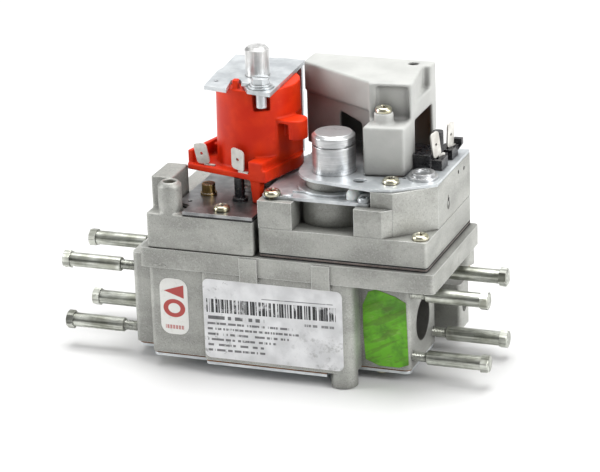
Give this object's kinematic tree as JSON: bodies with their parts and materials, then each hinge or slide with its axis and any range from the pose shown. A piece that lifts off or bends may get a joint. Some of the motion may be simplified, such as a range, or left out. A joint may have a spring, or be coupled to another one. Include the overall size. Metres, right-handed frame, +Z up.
{
  "type": "combination gas control valve",
  "caption": "Boiler gas control valve: die-cast body with flanged ports, solenoid shut-off with moulded coil, and servo pressure regulator under a plastic coil cover.",
  "frame": {"origin": "centre of the inlet port's mouth, in the plane of the inlet face", "axes": "+X along the gas flow from inlet to outlet, +Z up towards the coils, +Y to the rear, away from the label"},
  "size_m": [0.218, 0.0779, 0.1529],
  "materials": {
    "cast_zinc": "bead-blasted die casting",
    "zinc_steel": "bright zinc plate",
    "dark_steel": "dark passivated sheet",
    "yellow_zinc": "yellow passivated zinc",
    "brass": "dull brass",
    "nickel": "bright nickel",
    "stainless": "turned stainless",
    "orange_plastic": "glossy moulding",
    "grey_plastic": "satin moulding",
    "black_plastic": "satin moulding",
    "white_nylon": "plain",
    "black_rubber": "plain",
    "brown_gasket": "pressed fibre",
    "copper": "lacquered wire",
    "foil": "satin foil",
    "paper": "coated paper",
    "green_tape": "mottled adhesive film"
  },
  "bodies": {
    "valve": {"valve_body": "cast_zinc", "inlet_bolts": "zinc_steel", "outlet_bolts": "zinc_steel", "bottom_gasket": "brown_gasket", "bottom_plate": "zinc_steel", "bottom_screws": "yellow_zinc", "inlet_screen": "stainless", "head_casting": "cast_zinc", "solenoid_gasket": "black_rubber", "solenoid_plate": "dark_steel", "solenoid_screws": "yellow_zinc", "tall_screw": "brass", "coil_post": "black_plastic", "core_tube": "stainless", "pole_piece": "stainless", "shutoff_spring": "stainless", "coil_yoke": "zinc_steel", "earth_screw": "zinc_steel", "coil_body": "orange_plastic", "coil_winding": "copper", "coil_tabs": "zinc_steel", "lower_gasket": "black_rubber", "main_diaphragm": "black_rubber", "carrier_plate": "zinc_steel", "regulator_gasket": "black_rubber", "regulator_base": "cast_zinc", "main_spring": "stainless", "regulator_casting": "cast_zinc", "governor_diaphragm": "black_rubber", "governor_spring": "stainless", "regulator_lower_plate": "zinc_steel", "regulator_upper_plate": "zinc_steel", "regulator_cap": "nickel", "regulator_screws": "yellow_zinc", "silver_screw": "zinc_steel", "vent_button": "white_nylon", "test_plug": "nickel", "servo_tube": "stainless", "servo_pole": "stainless", "servo_spring": "stainless", "servo_coil": "black_plastic", "servo_winding": "copper", "servo_tabs": "zinc_steel", "coil_cover": "grey_plastic", "cover_screw": "yellow_zinc", "rear_screw": "brass", "rating_label": "foil", "sticker": "paper", "seal_tape": "green_tape"},
    "shutoff_valve": {"shutoff_plunger": "stainless", "shutoff_disc": "black_rubber"},
    "main_valve": {"main_valve": "stainless", "main_valve_seal": "black_rubber"},
    "governor": {"governor_plate": "stainless"},
    "servo_valve": {"servo_plunger": "stainless", "servo_disc": "black_rubber"},
    "adjuster": {"adjuster_screw": "brass"},
    "spring_seat": {"spring_seat": "brass"},
    "tap_screw": {"tap_screw": "brass"}
  },
  "joints": [
    {"name": "shutoff_lift", "type": "slide", "parent": "valve", "child": "shutoff_valve", "axis": [0, 0, 1], "range_m": [0, 0.003], "stiffness_N_per_m": 400, "springref_m": -0.006, "deforming": ["shutoff_spring"]},
    {"name": "main_lift", "type": "slide", "parent": "valve", "child": "main_valve", "axis": [0, 0, 1], "range_m": [0, 0.003], "stiffness_N_per_m": 300, "springref_m": -0.004, "deforming": ["main_spring", "main_diaphragm"]},
    {"name": "governor_lift", "type": "slide", "parent": "valve", "child": "governor", "axis": [0, 0, 1], "range_m": [0, 0.001], "stiffness_N_per_m": 300, "springref_m": -0.002, "deforming": ["governor_diaphragm"]},
    {"name": "servo_lift", "type": "slide", "parent": "valve", "child": "servo_valve", "axis": [0, 0, 1], "range_m": [0, 0.0015], "stiffness_N_per_m": 200, "springref_m": -0.004, "deforming": ["servo_spring"]},
    {"name": "adjuster_turn", "type": "hinge", "parent": "valve", "child": "adjuster", "pos_m": [0.1013, -0.0063, 0.07], "axis": [0, 0, 1], "range_deg": [0, 1440]},
    {"name": "seat_travel", "type": "slide", "parent": "valve", "child": "spring_seat", "axis": [0, 0, -1], "range_m": [0, 0.004], "deforming": ["governor_spring"]},
    {"name": "tap_turn", "type": "hinge", "parent": "valve", "child": "tap_screw", "pos_m": [0.0253, -0.028, 0.06], "axis": [0, 0, 1], "range_deg": [0, 720]}
  ],
  "couplings": [
    {"joint": "adjuster_turn", "follows": "seat_travel", "rad_per_m": 6283.2}
  ]
}
